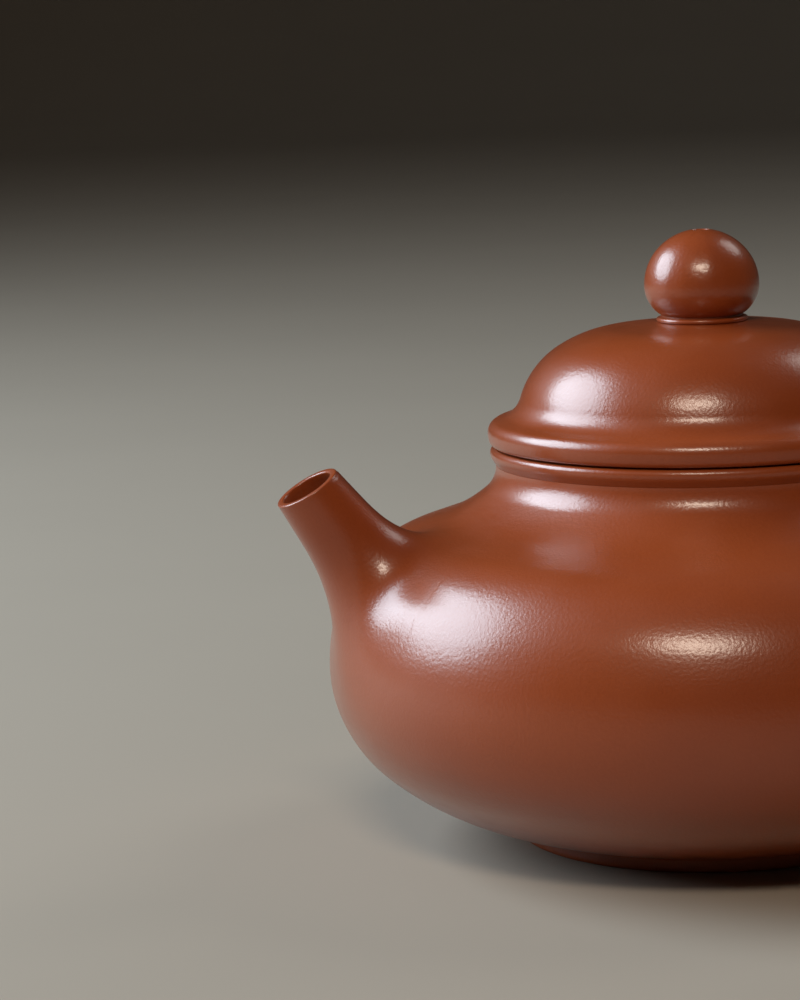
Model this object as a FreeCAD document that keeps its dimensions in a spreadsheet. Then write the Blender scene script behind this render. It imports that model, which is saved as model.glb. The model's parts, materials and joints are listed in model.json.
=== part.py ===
"""A squat round clay teapot with a cannon spout, an ear handle and a domed lid.

The pot stands on z = 0 with its axis on Z.  The spout points along -X and the handle along +X.
It is put together as a potter does it, from clay members luted face to face:
  pot: base disc, foot ring, belly wall, shoulder disc, neck ring, mouth lip, spout, strainer, handle
  lid: dome, rim, flange, knob collar and knob; it lifts out of the mouth along Z

Every turned outline is a chain of tangent arcs.  A place on it is given by the angle of the
surface's normal above the horizontal: 0 degrees looks outwards, 90 degrees looks up.
"""
import FreeCAD, Part
import math
import os
import Sketcher

SIZES = {
    # the belly, from its widest ring down to the base and up to the shoulder
    "belly_radius": 53.4,
    "belly_height": 25.0,
    "wall": 3.0,
    "side_arc": 26.0,
    "side_angle": 20.0,
    "shoulder_arc": 16.0,
    "shoulder_angle": 71.0,
    "low_arc": 18.5,
    "low_angle": -50.0,
    "under_arc": 38.0,
    "base_angle": -81.5,
    # the foot
    "foot_outer": 27.2,
    "foot_inner": 23.4,
    "foot_round": 0.6,
    # the shoulder disc and the neck
    "flank": 4.5,
    "sweep_arc": 22.0,
    "toe_angle": 60.0,
    "neck_angle": 50.0,
    "neck_arc": 4.5,
    "seat_height": 45.0,
    "disc_thickness": 2.8,
    "disc_bend": 36.5,
    "mouth_radius": 26.4,
    # the mouth lip
    "lip_base": 52.6,
    "lip_radius": 29.9,
    "lip_height": 54.3,
    "lip_top_arc": 0.75,
    "lip_low_arc": 1.6,
    "lip_low_angle": -33.0,
    # the lid's rim, dome and flange
    "rim_radius": 30.15,
    "rim_height": 57.14,
    "rim_top_arc": 1.64,
    "rim_top_angle": 70.0,
    "rim_flat": 1.14,
    "rim_low_arc": 4.8,
    "rim_low_angle": -15.0,
    "rim_edge_arc": 0.85,
    "cove_arc": 4.0,
    "cove_angle": 17.0,
    "dome_side_arc": 12.5,
    "dome_side_angle": 57.4,
    "dome_top_arc": 18.0,
    "dome_top_angle": 83.4,
    "crown_arc": 109.0,
    "crown_angle": 86.75,
    "dome_wall": 2.8,
    "flange_play": 0.3,
    "flange_wall": 2.5,
    "flange_base": 46.0,
    "flange_round": 0.8,
    # the knob and its vent
    "collar_height": 0.7,
    "collar_round": 0.35,
    "knob_radius": 7.96,
    "knob_height": 76.9,
    "knob_top_arc": 7.5,
    "knob_top_angle": 50.0,
    "knob_low_arc": 4.85,
    "knob_low_angle": -60.0,
    "knob_crown_angle": 81.0,
    "vent_radius": 0.8,
    "vent_dip": 0.5,
    # the spout: a flared tube about a slanting straight axis
    "spout_reach": 57.6,
    "spout_height": 52.6,
    "spout_slant": 54.5,
    "spout_cut": 5.5,
    "spout_radius": 4.6,
    "spout_taper": 5.5,
    "spout_cone": 5.5,
    "spout_flare_arc": 40.0,
    "spout_root_angle": 10.0,
    "spout_root": 14.0,
    "spout_spare": 2.0,
    "spout_trim": 18.4,
    "bore_radius": 3.6,
    "bore_taper": 4.5,
    # the ball strainer behind the spout
    "strainer_radius": 8.6,
    "strainer_wall": 1.6,
    "strainer_depth": 18.0,
    "strainer_hole": 0.7,
    "strainer_inner_ring": 2.8,
    "strainer_outer_ring": 5.4,
    # the handle: a tapering round bar bent in tangent arcs
    "handle_root_x": 45.0,
    "handle_root_z": 37.0,
    "handle_rise": 52.0,
    "handle_lead": 10.0,
    "handle_top_arc": 10.0,
    "handle_top_angle": -28.0,
    "handle_back_arc": 16.5,
    "handle_back_angle": -98.0,
    "handle_low_arc": 13.0,
    "handle_low_angle": -160.0,
    "handle_tail": 20.5,
    "handle_upper_radius": 4.4,
    "handle_lower_radius": 3.4,
}

# how a sketch numbers its own axes, its origin, and the ends and centre of a curve
H_AXIS, V_AXIS = -1, -2
ORIGIN = (-1, 1)
START, END, CENTRE = 1, 2, 3
NEAR = 1e-6

doc = FreeCAD.newDocument("teapot")
sheet = doc.addObject("Spreadsheet::Sheet", "Sizes")
for row, (alias, number) in enumerate(SIZES.items(), start=1):
    sheet.set(f"A{row}", alias)
    sheet.set(f"B{row}", str(number))
    sheet.setAlias(f"B{row}", alias)
doc.recompute()


class Size:
    """A number and the spreadsheet expression that it comes from."""

    def __init__(self, number, text=None):
        self.number = float(number)
        self.text = text or repr(float(number))

    def __add__(self, other):
        other = as_size(other)
        return Size(self.number + other.number, f"({self.text} + {other.text})")

    def __sub__(self, other):
        other = as_size(other)
        return Size(self.number - other.number, f"({self.text} - {other.text})")

    def __mul__(self, other):
        other = as_size(other)
        return Size(self.number * other.number, f"{self.text} * {other.text}")

    def __truediv__(self, other):
        other = as_size(other)
        return Size(self.number / other.number, f"{self.text} / {other.text}")


def as_size(value):
    return value if isinstance(value, Size) else Size(value)


def cell(alias):
    return Size(sheet.get(alias), f"Sizes.{alias}")


def cosine(angle):
    return Size(math.cos(math.radians(angle.number)), f"cos({angle.text})")


def sine(angle):
    return Size(math.sin(math.radians(angle.number)), f"sin({angle.text})")


def tangent(angle):
    return Size(math.tan(math.radians(angle.number)), f"tan({angle.text})")


class Outline:
    """A closed outline in (radius, height), drawn as lines and tangent arcs."""

    def __init__(self, radius, height):
        self.points = [(as_size(radius), as_size(height))]
        self.arcs = []

    @property
    def end(self):
        return self.points[-1]

    def line_to(self, radius, height):
        self.points.append((as_size(radius), as_size(height)))
        self.arcs.append(None)
        return self

    def arc(self, radius, start, stop):
        """Turn from one normal angle to the other; a negative radius makes a hollow arc."""
        r, z = self.end
        self.points.append((
            r + radius * (cosine(stop) - cosine(start)),
            z + radius * (sine(stop) - sine(start)),
        ))
        self.arcs.append((radius, start.number, stop.number))
        return self

    def straight(self, length, angle):
        """Run up a straight flank whose normal has this angle."""
        r, z = self.end
        return self.line_to(r - length * sine(angle), z + length * cosine(angle))


def arc_middle(begin, radius, start, stop):
    """The point half way along an arc, which tells a Part.Arc which way it bends."""
    middle = math.radians((start + stop) / 2)
    first = math.radians(start)
    r, z = begin
    return (
        r + radius * (math.cos(middle) - math.cos(first)),
        z + radius * (math.sin(middle) - math.sin(first)),
    )


def pin_point(sketch, curve, end, across, up):
    """Fix one end of a sketch curve by two sheet-driven distances from the sketch's origin."""
    for kind, size, axis in (("DistanceX", across, V_AXIS), ("DistanceY", up, H_AXIS)):
        if abs(size.number) < NEAR:
            sketch.addConstraint(Sketcher.Constraint("PointOnObject", curve, end, axis))
            continue
        at = sketch.addConstraint(Sketcher.Constraint(kind, *ORIGIN, curve, end, size.number))
        sketch.setExpression(f"Constraints[{at}]", size.text)


def draw(sketch, outline, closed=True):
    """Draw the outline in the sketch, with every corner and arc radius bound to the sheet."""
    corners = outline.points
    steps = list(zip(corners, corners[1:], outline.arcs))
    if closed:
        steps.append((corners[-1], corners[0], None))
    curves = []
    for begin, finish, arc in steps:
        a = FreeCAD.Vector(begin[0].number, begin[1].number, 0)
        b = FreeCAD.Vector(finish[0].number, finish[1].number, 0)
        if arc is None:
            curves.append(sketch.addGeometry(Part.LineSegment(a, b), False))
            continue
        radius, start, stop = arc
        middle = arc_middle((a.x, a.y), radius.number, start, stop)
        curves.append(sketch.addGeometry(Part.Arc(a, FreeCAD.Vector(*middle, 0), b), False))
    count = len(curves)
    starts = []
    for number, curve in enumerate(curves):
        a = FreeCAD.Vector(steps[number][0][0].number, steps[number][0][1].number, 0)
        starts.append(START if sketch.getPoint(curve, START).distanceToPoint(a) < NEAR else END)
    for number, curve in enumerate(curves):
        pin_point(sketch, curve, starts[number], *steps[number][0])
        after = (number + 1) % count
        far_end = START + END - starts[number]
        if closed or after:
            sketch.addConstraint(Sketcher.Constraint(
                "Coincident", curve, far_end, curves[after], starts[after]))
        else:
            pin_point(sketch, curve, far_end, *steps[number][1])
        arc = steps[number][2]
        if arc is not None:
            size = arc[0] if arc[0].number > 0 else arc[0] * -1
            at = sketch.addConstraint(Sketcher.Constraint("Radius", curve, size.number))
            sketch.setExpression(f"Constraints[{at}]", size.text)


def origin_plane(body, role):
    return next(f for f in body.Origin.OriginFeatures if f.Role == role)


def new_sketch(body, name, role):
    sketch = body.newObject("Sketcher::SketchObject", name)
    sketch.AttachmentSupport = (origin_plane(body, role), "")
    sketch.MapMode = "FlatFace"
    return sketch


def turned(name, outline):
    """A piece turned about its own Z axis from a closed outline."""
    body = doc.addObject("PartDesign::Body", name)
    body.Label = name
    sketch = new_sketch(body, f"{name}_outline", "XZ_Plane")
    draw(sketch, outline)
    feature = body.newObject("PartDesign::Revolution", f"{name}_turn")
    feature.Profile = sketch
    feature.ReferenceAxis = (sketch, ["V_Axis"])
    feature.Angle = 360
    return body


def belly_curve(outline, inset, first, last):
    """Follow the belly upwards between two joints, at a depth of inset under its surface."""
    low = cell("low_angle")
    side = cell("side_angle")
    zero = Size(0)
    outline.arc(cell("under_arc") - inset, first, low)
    outline.arc(cell("low_arc") - inset, low, zero)
    outline.arc(cell("side_arc") - inset, zero, side)
    outline.arc(cell("shoulder_arc") - inset, side, last)
    return outline


def belly_point(angle, inset):
    """A place on the belly's under side or shoulder arc, at this normal angle."""
    r = cell("belly_radius") - inset
    z = cell("belly_height")
    below = angle.number < 0
    near = cell("low_arc") if below else cell("side_arc")
    far = cell("under_arc") if below else cell("shoulder_arc")
    bend = cell("low_angle") if below else cell("side_angle")
    near = near - inset
    far = far - inset
    r = r + near * (cosine(bend) - 1) + far * (cosine(angle) - cosine(bend))
    z = z + near * sine(bend) + far * (sine(angle) - sine(bend))
    return r, z


def belly_wall_outline():
    base = cell("base_angle")
    top = cell("shoulder_angle")
    wall = cell("wall")
    outline = belly_curve(Outline(*belly_point(base, Size(0))), Size(0), base, top)
    outline.line_to(*belly_point(top, wall))
    side = cell("side_angle")
    low = cell("low_angle")
    outline.arc(cell("shoulder_arc") - wall, top, side)
    outline.arc(cell("side_arc") - wall, side, Size(0))
    outline.arc(cell("low_arc") - wall, Size(0), low)
    outline.arc(cell("under_arc") - wall, low, base)
    return outline


def belly_form_outline(inset):
    """The belly's outer or inner surface closed flat across the top and bottom."""
    base = cell("base_angle")
    top = cell("shoulder_angle")
    low_point = belly_point(base, inset)
    outline = Outline(0, low_point[1]).line_to(*low_point)
    belly_curve(outline, inset, base, top)
    outline.line_to(0, outline.end[1])
    return outline


def base_disc_outline():
    outer = belly_point(cell("base_angle"), Size(0))
    inner = belly_point(cell("base_angle"), cell("wall"))
    return Outline(0, outer[1]).line_to(*outer).line_to(*inner).line_to(0, inner[1])


def foot_ring_outline():
    top = belly_point(cell("base_angle"), Size(0))[1]
    edge = cell("foot_round")
    outline = Outline(cell("foot_inner"), top)
    outline.line_to(cell("foot_inner"), edge)
    outline.arc(edge, Size(180), Size(270))
    outline.line_to(cell("foot_outer") - edge, 0)
    outline.arc(edge, Size(270), Size(360))
    outline.line_to(cell("foot_outer"), top)
    return outline


def toe_point():
    """Where the neck ring's toe ends on the shoulder disc."""
    flank = cell("shoulder_angle")
    toe = cell("toe_angle")
    r, z = belly_point(flank, Size(0))
    sweep = cell("sweep_arc")
    r = r - cell("flank") * sine(flank) - sweep * (cosine(toe) - cosine(flank))
    z = z + cell("flank") * cosine(flank) - sweep * (sine(toe) - sine(flank))
    return r, z


def shoulder_disc_outline():
    flank = cell("shoulder_angle")
    seat = cell("seat_height")
    under = seat - cell("disc_thickness")
    outline = Outline(*belly_point(flank, Size(0)))
    outline.straight(cell("flank"), flank)
    outline.arc(cell("sweep_arc") * -1, flank, cell("toe_angle"))
    outline.line_to(outline.end[0], seat)
    outline.line_to(cell("mouth_radius"), seat)
    outline.line_to(cell("mouth_radius"), under)
    outline.line_to(cell("disc_bend"), under)
    outline.line_to(*belly_point(flank, cell("wall")))
    return outline


def neck_ring_outline():
    toe = toe_point()
    neck = cell("neck_angle")
    outline = Outline(cell("mouth_radius"), cell("seat_height"))
    outline.line_to(toe[0], cell("seat_height"))
    outline.line_to(*toe)
    outline.arc(cell("sweep_arc") * -1, cell("toe_angle"), neck)
    outline.arc(cell("neck_arc") * -1, neck, Size(0))
    outline.line_to(outline.end[0], cell("lip_base"))
    outline.line_to(cell("mouth_radius"), cell("lip_base"))
    return outline


def mouth_lip_outline():
    low = cell("lip_low_angle")
    arc = cell("lip_low_arc")
    r = cell("lip_radius") + arc * (cosine(low) - 1)
    z = cell("lip_height") + arc * sine(low)
    drop = z - cell("lip_base")
    foot = r + drop * tangent(low)
    outline = Outline(cell("mouth_radius"), cell("lip_base"))
    outline.line_to(foot, cell("lip_base"))
    outline.line_to(r, z)
    outline.arc(arc, low, Size(0))
    outline.arc(cell("lip_top_arc"), Size(0), Size(90))
    outline.line_to(cell("mouth_radius"), outline.end[1])
    return outline


def rim_bottom():
    low = cell("rim_low_angle")
    edge = cell("rim_edge_arc")
    r = cell("rim_radius") + cell("rim_low_arc") * (cosine(low) - 1) - edge * cosine(low)
    z = cell("rim_height") + cell("rim_low_arc") * sine(low) - edge * (sine(low) + 1)
    return r, z


def dome_foot():
    """Where the rim's cove runs into the side of the dome."""
    top = cell("rim_top_angle")
    cove = cell("cove_angle")
    r = cell("rim_radius") + cell("rim_top_arc") * (cosine(top) - 1) - cell("rim_flat") * sine(top)
    z = cell("rim_height") + cell("rim_top_arc") * sine(top) + cell("rim_flat") * cosine(top)
    r = r - cell("cove_arc") * (cosine(cove) - cosine(top))
    z = z - cell("cove_arc") * (sine(cove) - sine(top))
    return r, z


def dome_inner_foot():
    """The inner end of the bevelled joint between the rim and the dome."""
    r, z = dome_foot()
    cove = cell("cove_angle")
    return r - cell("dome_wall") * cosine(cove), z - cell("dome_wall") * sine(cove)


def crown_point(inset):
    """Where the crown levels out under the knob."""
    r, z = dome_foot()
    cove = cell("cove_angle")
    side = cell("dome_side_angle")
    top = cell("dome_top_angle")
    crown = cell("crown_angle")
    r = r - inset * cosine(cove)
    z = z - inset * sine(cove)
    for radius, start, stop in (
        (cell("dome_side_arc") - inset, cove, side),
        (cell("dome_top_arc") - inset, side, top),
        (cell("crown_arc") - inset, top, crown),
    ):
        r = r + radius * (cosine(stop) - cosine(start))
        z = z + radius * (sine(stop) - sine(start))
    return r, z


def lid_rim_outline():
    bottom = rim_bottom()
    low = cell("rim_low_angle")
    top = cell("rim_top_angle")
    flange_inner = cell("mouth_radius") - cell("flange_play") - cell("flange_wall")
    outline = Outline(flange_inner, bottom[1])
    outline.line_to(*bottom)
    outline.arc(cell("rim_edge_arc"), Size(-90), low)
    outline.arc(cell("rim_low_arc"), low, Size(0))
    outline.arc(cell("rim_top_arc"), Size(0), top)
    outline.straight(cell("rim_flat"), top)
    outline.arc(cell("cove_arc") * -1, top, cell("cove_angle"))
    outline.line_to(*dome_inner_foot())
    return outline


def lid_dome_outline():
    cove = cell("cove_angle")
    side = cell("dome_side_angle")
    top = cell("dome_top_angle")
    crown = cell("crown_angle")
    wall = cell("dome_wall")
    inner_top = crown_point(wall)
    outline = Outline(*dome_foot())
    outline.arc(cell("dome_side_arc"), cove, side)
    outline.arc(cell("dome_top_arc"), side, top)
    outline.arc(cell("crown_arc"), top, crown)
    outline.line_to(cell("vent_radius"), outline.end[1])
    outline.line_to(cell("vent_radius"), inner_top[1])
    outline.line_to(*inner_top)
    outline.arc(cell("crown_arc") - wall, crown, top)
    outline.arc(cell("dome_top_arc") - wall, top, side)
    outline.arc(cell("dome_side_arc") - wall, side, cove)
    return outline


def lid_flange_outline():
    outer = cell("mouth_radius") - cell("flange_play")
    inner = outer - cell("flange_wall")
    edge = cell("flange_round")
    top = rim_bottom()[1]
    outline = Outline(inner, top)
    outline.line_to(inner, cell("flange_base") + edge)
    outline.arc(edge, Size(180), Size(270))
    outline.line_to(outer - edge, cell("flange_base"))
    outline.arc(edge, Size(270), Size(360))
    outline.line_to(outer, top)
    return outline


def knob_collar_outline():
    radius, base = crown_point(Size(0))
    edge = cell("collar_round")
    top = base + cell("collar_height")
    outline = Outline(cell("vent_radius"), base)
    outline.line_to(radius - edge, base)
    outline.arc(edge, Size(-90), Size(0))
    outline.arc(edge, Size(0), Size(90))
    outline.line_to(cell("vent_radius"), top)
    return outline


def knob_outline():
    low = cell("knob_low_angle")
    top = cell("knob_top_angle")
    collar_top = crown_point(Size(0))[1] + cell("collar_height")
    vent = cell("vent_radius")
    r = cell("knob_radius") + cell("knob_low_arc") * (cosine(low) - 1)
    z = cell("knob_height") + cell("knob_low_arc") * sine(low)
    outline = Outline(vent, collar_top)
    outline.line_to(r, collar_top)
    outline.line_to(r, z)
    outline.arc(cell("knob_low_arc"), low, Size(0))
    outline.arc(cell("knob_top_arc"), Size(0), top)
    # the flatter crown is centred on the axis and stops at the vent's small countersink
    crown = outline.end[0] / cosine(top)
    outline.arc(crown, top, cell("knob_crown_angle"))
    outline.line_to(vent, outline.end[1] - cell("vent_dip"))
    return outline


def spout_outline(top_spare):
    """The spout as a tube standing on z = 0, root down, with its bore."""
    taper = cell("spout_taper")
    root = cell("spout_root_angle")
    arc = cell("spout_flare_arc")
    cone = cell("spout_cone")
    skirt = cell("spout_root")
    tip_radius = cell("spout_radius") - top_spare * tangent(taper)
    arc_radius = cell("spout_radius") + cone * tangent(taper)
    skirt_radius = arc_radius + arc * (cosine(taper) - cosine(root))
    length = spout_length()
    height = length + top_spare
    bore = tangent(cell("bore_taper"))
    outline = Outline(skirt_radius + skirt * tangent(root), 0)
    outline.line_to(skirt_radius, skirt)
    outline.arc(arc * -1, root, taper)
    outline.line_to(tip_radius, height)
    outline.line_to(cell("bore_radius") - top_spare * bore, height)
    outline.line_to(cell("bore_radius") + length * bore, 0)
    return outline


def spout_length():
    """From the root end of the tube to the middle of its mouth."""
    flare = cell("spout_flare_arc") * (sine(cell("spout_root_angle")) - sine(cell("spout_taper")))
    return cell("spout_root") + flare + cell("spout_cone")


def along_spout(distance, angle=None):
    """The placement at this distance down the spout's axis from its mouth, with Z out along it."""
    slant = math.radians(cell("spout_slant").number)
    tilt = cell("spout_slant").number if angle is None else angle
    tip = FreeCAD.Vector(-cell("spout_reach").number, 0, cell("spout_height").number)
    down = FreeCAD.Vector(math.cos(slant), 0, -math.sin(slant))
    turn = FreeCAD.Rotation(FreeCAD.Vector(0, 1, 0), tilt - 90)
    return FreeCAD.Placement(tip + down * distance, turn)


def primitive(kind, name, placement=None, **sizes):
    """A Part primitive whose sizes are bound to the sheet."""
    piece = doc.addObject(kind, name)
    for field, size in sizes.items():
        piece.setExpression(field, as_size(size).text)
    if placement is not None:
        piece.Placement = placement
    return piece


def cut(name, base, tool):
    piece = doc.addObject("Part::Cut", name)
    piece.Base = base
    piece.Tool = tool
    return piece


def make_spout(belly_form):
    spare = cell("spout_spare")
    tube = turned("spout_tube", spout_outline(spare))
    tube.Placement = along_spout(spout_length().number)
    side = cell("spout_trim")
    mouth_angle = cell("spout_slant").number + cell("spout_cut").number
    above = along_spout(0, mouth_angle)
    corner = above.multVec(FreeCAD.Vector(-side.number / 2, -side.number / 2, 0))
    trim = primitive("Part::Box", "mouth_trim", FreeCAD.Placement(corner, above.Rotation),
                     Length=side, Width=side, Height=side)
    return cut("spout", cut("spout_trimmed", tube, trim), belly_form)


def make_belly_wall():
    """The wall, pierced behind the spout by a plain round hole as wide as the bore is there."""
    wall = turned("belly_wall_turned", belly_wall_outline())
    radius = cell("bore_radius") + cell("strainer_depth") * tangent(cell("bore_taper"))
    hole = primitive("Part::Cylinder", "pouring_hole",
                     along_spout(spout_length().number),
                     Radius=radius, Height=cell("spout_root"))
    return cut("belly_wall", wall, hole)


def make_strainer(cavity_form):
    """A half ball of clay over the pouring hole, pierced by two rings of holes and one between."""
    radius = cell("strainer_radius")
    inner = radius - cell("strainer_wall")
    shell = Outline(0, inner)
    shell.line_to(0, radius)
    shell.arc(radius, Size(90), Size(0))
    shell.line_to(inner, 0)
    shell.arc(inner, Size(0), Size(90))
    body = turned("strainer_ball", shell)
    for number, (ring, count) in enumerate((
        (Size(0), 1),
        (cell("strainer_inner_ring"), 6),
        (cell("strainer_outer_ring"), 12),
    )):
        sketch = new_sketch(body, f"strainer_holes_{number}", "XY_Plane")
        circle = Part.Circle(FreeCAD.Vector(ring.number, 0, 0), FreeCAD.Vector(0, 0, 1),
                             cell("strainer_hole").number)
        sketch.addGeometry(circle, False)
        pin_point(sketch, 0, CENTRE, ring, Size(0))
        at = sketch.addConstraint(Sketcher.Constraint("Radius", 0, cell("strainer_hole").number))
        sketch.setExpression(f"Constraints[{at}]", cell("strainer_hole").text)
        pocket = body.newObject("PartDesign::Pocket", f"strainer_pocket_{number}")
        pocket.Profile = sketch
        pocket.Type = "ThroughAll"
        pocket.Reversed = True
        doc.recompute()
        if count == 1:
            continue
        pattern = body.newObject("PartDesign::PolarPattern", f"strainer_ring_{number}")
        pattern.Originals = [pocket]
        pattern.Axis = (sketch, ["N_Axis"])
        pattern.Angle = 360
        pattern.Occurrences = count
        body.Tip = pattern
        doc.recompute()
    depth = cell("strainer_depth").number
    body.Placement = along_spout(depth, cell("spout_slant").number + 180)
    trimmed = doc.addObject("Part::Common", "strainer")
    trimmed.Base = body
    trimmed.Tool = cavity_form
    return trimmed


def handle_spine():
    rise = cell("handle_rise")
    tail = cell("handle_low_angle")
    outline = Outline(cell("handle_root_x"), cell("handle_root_z"))
    lead = cell("handle_lead")
    outline.line_to(outline.end[0] + lead * cosine(rise), outline.end[1] + lead * sine(rise))
    outline.arc(cell("handle_top_arc"), rise + 90, cell("handle_top_angle") + 90)
    outline.arc(cell("handle_back_arc"), cell("handle_top_angle") + 90,
                cell("handle_back_angle") + 90)
    outline.arc(cell("handle_low_arc"), cell("handle_back_angle") + 90, tail + 90)
    length = cell("handle_tail")
    outline.line_to(outline.end[0] + length * cosine(tail), outline.end[1] + length * sine(tail))
    return outline


def handle_section(body, name, spine, edge, parameter, radius):
    """A circle square to the handle's line at one end of one of its edges."""
    sketch = body.newObject("Sketcher::SketchObject", name)
    sketch.AttachmentSupport = (spine, edge)
    sketch.MapMode = "NormalToEdge"
    sketch.MapPathParameter = parameter
    centre = FreeCAD.Vector(0, 0, 0)
    sketch.addGeometry(Part.Circle(centre, FreeCAD.Vector(0, 0, 1), radius.number), False)
    sketch.addConstraint(Sketcher.Constraint("Coincident", 0, CENTRE, *ORIGIN))
    at = sketch.addConstraint(Sketcher.Constraint("Radius", 0, radius.number))
    sketch.setExpression(f"Constraints[{at}]", radius.text)
    return sketch


def make_handle(belly_form):
    body = doc.addObject("PartDesign::Body", "handle_bar")
    spine = new_sketch(body, "handle_line", "XZ_Plane")
    outline = handle_spine()
    draw(spine, outline, closed=False)
    doc.recompute()
    last = f"Edge{len(outline.arcs)}"
    upper = handle_section(body, "handle_upper_end", spine, "Edge1", 0,
                           cell("handle_upper_radius"))
    lower = handle_section(body, "handle_lower_end", spine, last, 1,
                           cell("handle_lower_radius"))
    doc.recompute()
    pipe = body.newObject("PartDesign::AdditivePipe", "handle_sweep")
    pipe.Profile = upper
    pipe.Spine = (spine, [f"Edge{n + 1}" for n in range(len(outline.arcs))])
    pipe.Sections = [(lower, [""])]
    pipe.Transformation = "Multisection"
    pipe.Mode = "Standard"
    return cut("handle", body, belly_form)


TURNED = {
    "base_disc": base_disc_outline,
    "foot_ring": foot_ring_outline,
    "shoulder_disc": shoulder_disc_outline,
    "neck_ring": neck_ring_outline,
    "mouth_lip": mouth_lip_outline,
    "lid_rim": lid_rim_outline,
    "lid_dome": lid_dome_outline,
    "lid_flange": lid_flange_outline,
    "knob_collar": knob_collar_outline,
    "knob": knob_outline,
}


def main():
    pieces = [turned(name, outline()) for name, outline in TURNED.items()]
    belly_form = turned("belly_form", belly_form_outline(Size(0)))
    cavity_form = turned("cavity_form", belly_form_outline(cell("wall")))
    pieces.append(make_belly_wall())
    pieces.append(make_spout(belly_form))
    pieces.append(make_strainer(cavity_form))
    pieces.append(make_handle(belly_form))
    doc.recompute()
    for item in doc.Objects:
        faults = [state for state in item.State if state in ("Invalid", "Error")]
        if faults:
            raise RuntimeError(f"{item.Label} failed: {faults}")
    os.makedirs("parts", exist_ok=True)
    for piece in pieces:
        piece.Label = piece.Name
        shape = piece.Shape
        if shape.isNull() or not shape.isValid() or not shape.Solids:
            raise RuntimeError(f"{piece.Label} has no valid solid")
        shape.exportStep(f"parts/{piece.Label}.step")
        box = shape.BoundBox
        print(f"{piece.Label:14s} {len(shape.Solids)} solid {shape.Volume:9.1f} mm3 "
              f"x {box.XMin:6.1f} {box.XMax:6.1f}  z {box.ZMin:6.2f} {box.ZMax:6.2f}")


main()
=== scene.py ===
"""Looks of a squat unglazed clay teapot with a cannon spout, an ear handle and a domed lid.

Each clay member is one closed piece that stands for the CAD node of the same name, except that the
strainer keeps its CAD mesh.  Outlines and sizes are in mm, about the pot's axis, and become metres
when a mesh is made.  As in the CAD
source, a place on a turned outline is given by the angle of its normal above the horizontal.
"""

import json
import math

import bpy
import numpy as np
from mathutils import Matrix, Quaternion, Vector


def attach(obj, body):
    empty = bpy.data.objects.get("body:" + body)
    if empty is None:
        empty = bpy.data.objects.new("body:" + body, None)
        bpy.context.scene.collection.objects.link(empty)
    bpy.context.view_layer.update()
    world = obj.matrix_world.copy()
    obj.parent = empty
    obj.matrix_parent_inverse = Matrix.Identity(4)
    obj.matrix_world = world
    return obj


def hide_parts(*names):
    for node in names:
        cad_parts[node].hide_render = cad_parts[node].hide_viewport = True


MM = 0.001
AROUND = 360          # points round a turned piece
STEP = 0.4            # mm between the rings of a turned piece
COARSE = 3.0          # times as far between rings on faces left as fired
GUARD = 0.03          # mm from a corner to the extra ring that keeps its shading crisp
CORNER = 15.0         # degrees of turn that count as a corner
SHARP = 28.0          # degrees between faces that are shaded as a true corner
ARC_BEND = 9.0        # degrees between rings on an arc, at most
ARC_LEAST = 4         # rings on an arc, at least
SAME = 1e-6           # mm between two places that count as one

# how far a face is burnished
AS_FIRED, BEARING, WIPED, RUBBED, BURNISHED = 0.0, 0.15, 0.3, 0.5, 1.0

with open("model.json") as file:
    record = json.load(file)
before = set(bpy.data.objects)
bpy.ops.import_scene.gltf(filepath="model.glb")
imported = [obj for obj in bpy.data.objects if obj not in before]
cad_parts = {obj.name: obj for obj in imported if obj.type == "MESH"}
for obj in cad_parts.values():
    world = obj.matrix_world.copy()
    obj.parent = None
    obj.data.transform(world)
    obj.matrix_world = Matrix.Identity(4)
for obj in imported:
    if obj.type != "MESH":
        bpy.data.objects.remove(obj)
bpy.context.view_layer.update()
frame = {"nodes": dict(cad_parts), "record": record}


# ---------------------------------------------------------------- outlines

def direction(angle):
    a = math.radians(angle)
    return np.array([math.cos(a), math.sin(a)])


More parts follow.
